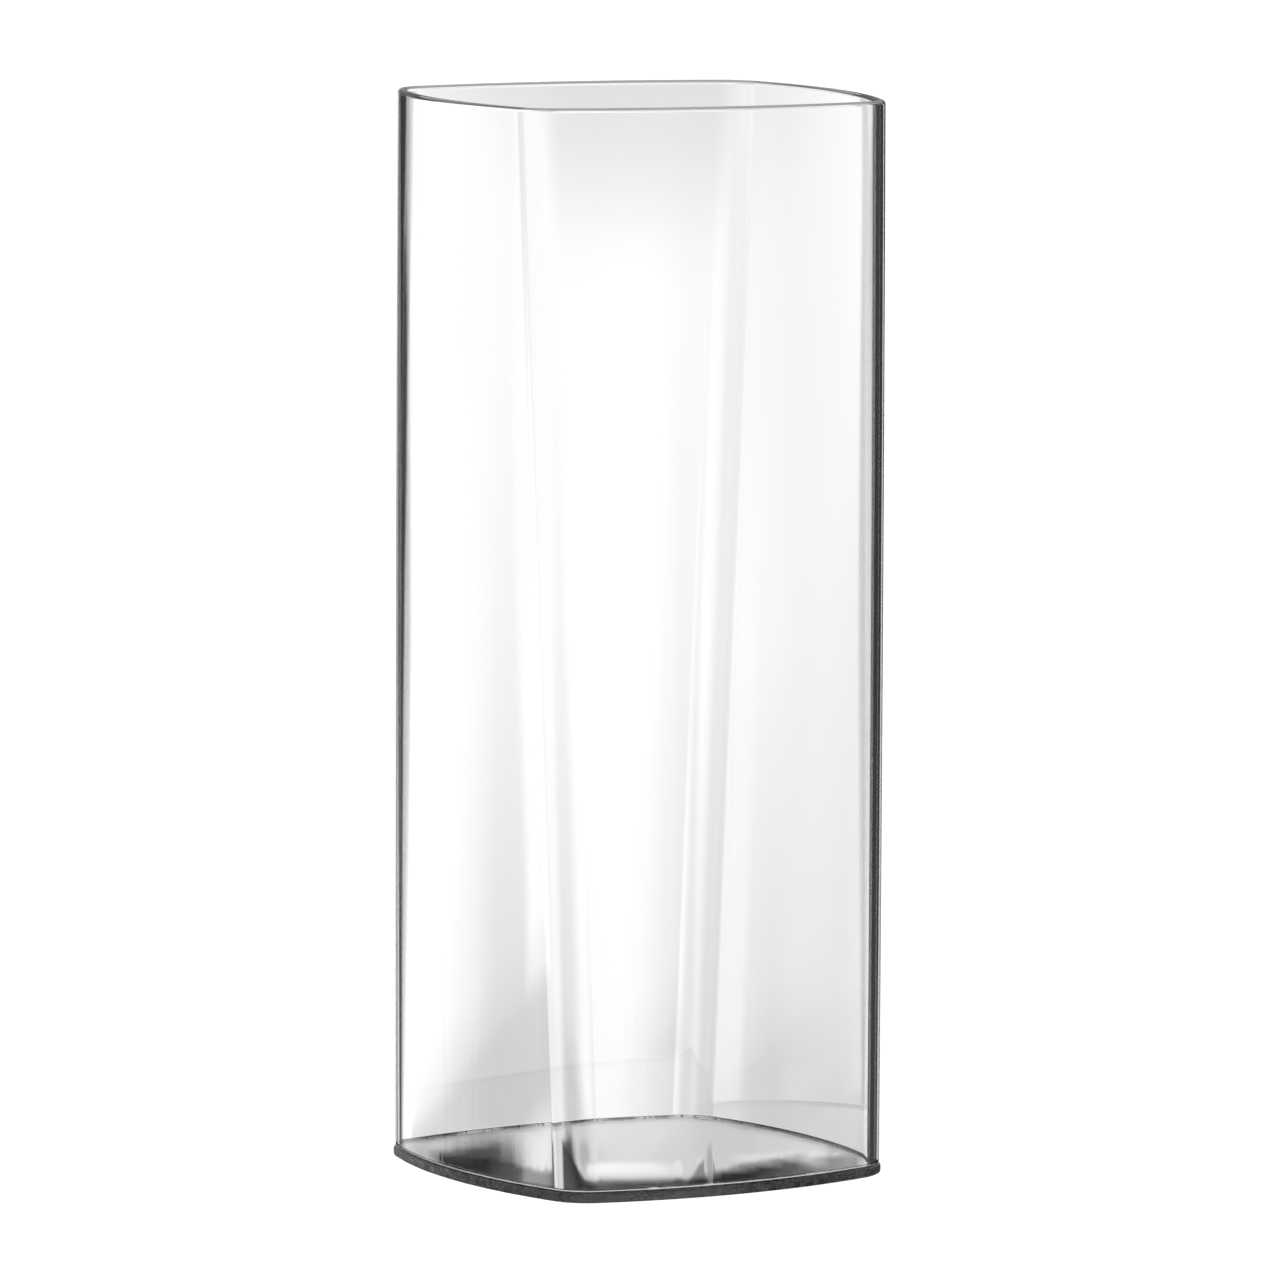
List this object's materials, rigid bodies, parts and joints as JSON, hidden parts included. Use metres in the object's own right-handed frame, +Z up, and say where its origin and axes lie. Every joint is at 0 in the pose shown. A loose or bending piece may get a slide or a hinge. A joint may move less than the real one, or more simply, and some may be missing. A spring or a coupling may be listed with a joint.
{
  "type": "glass vase",
  "caption": "Tall clear glass vase with a soft square, gently twisted wall, a melted rim and a ground base plate.",
  "frame": {"origin": "on the table under the vase's vertical axis, in the plane of the base plate's underside", "axes": "+Z up along the vase's axis, +X and +Y square to two neighbouring sides at the foot"},
  "size_m": [0.125, 0.125, 0.3],
  "materials": {
    "clear_glass": "clear and polished",
    "base_glass": "clear faces with a ground edge",
    "clear_bond": "clear"
  },
  "bodies": {
    "root": {"wall_sleeve": "clear_glass", "base_plate": "base_glass", "bond_bead": "clear_bond"}
  },
  "joints": []
}
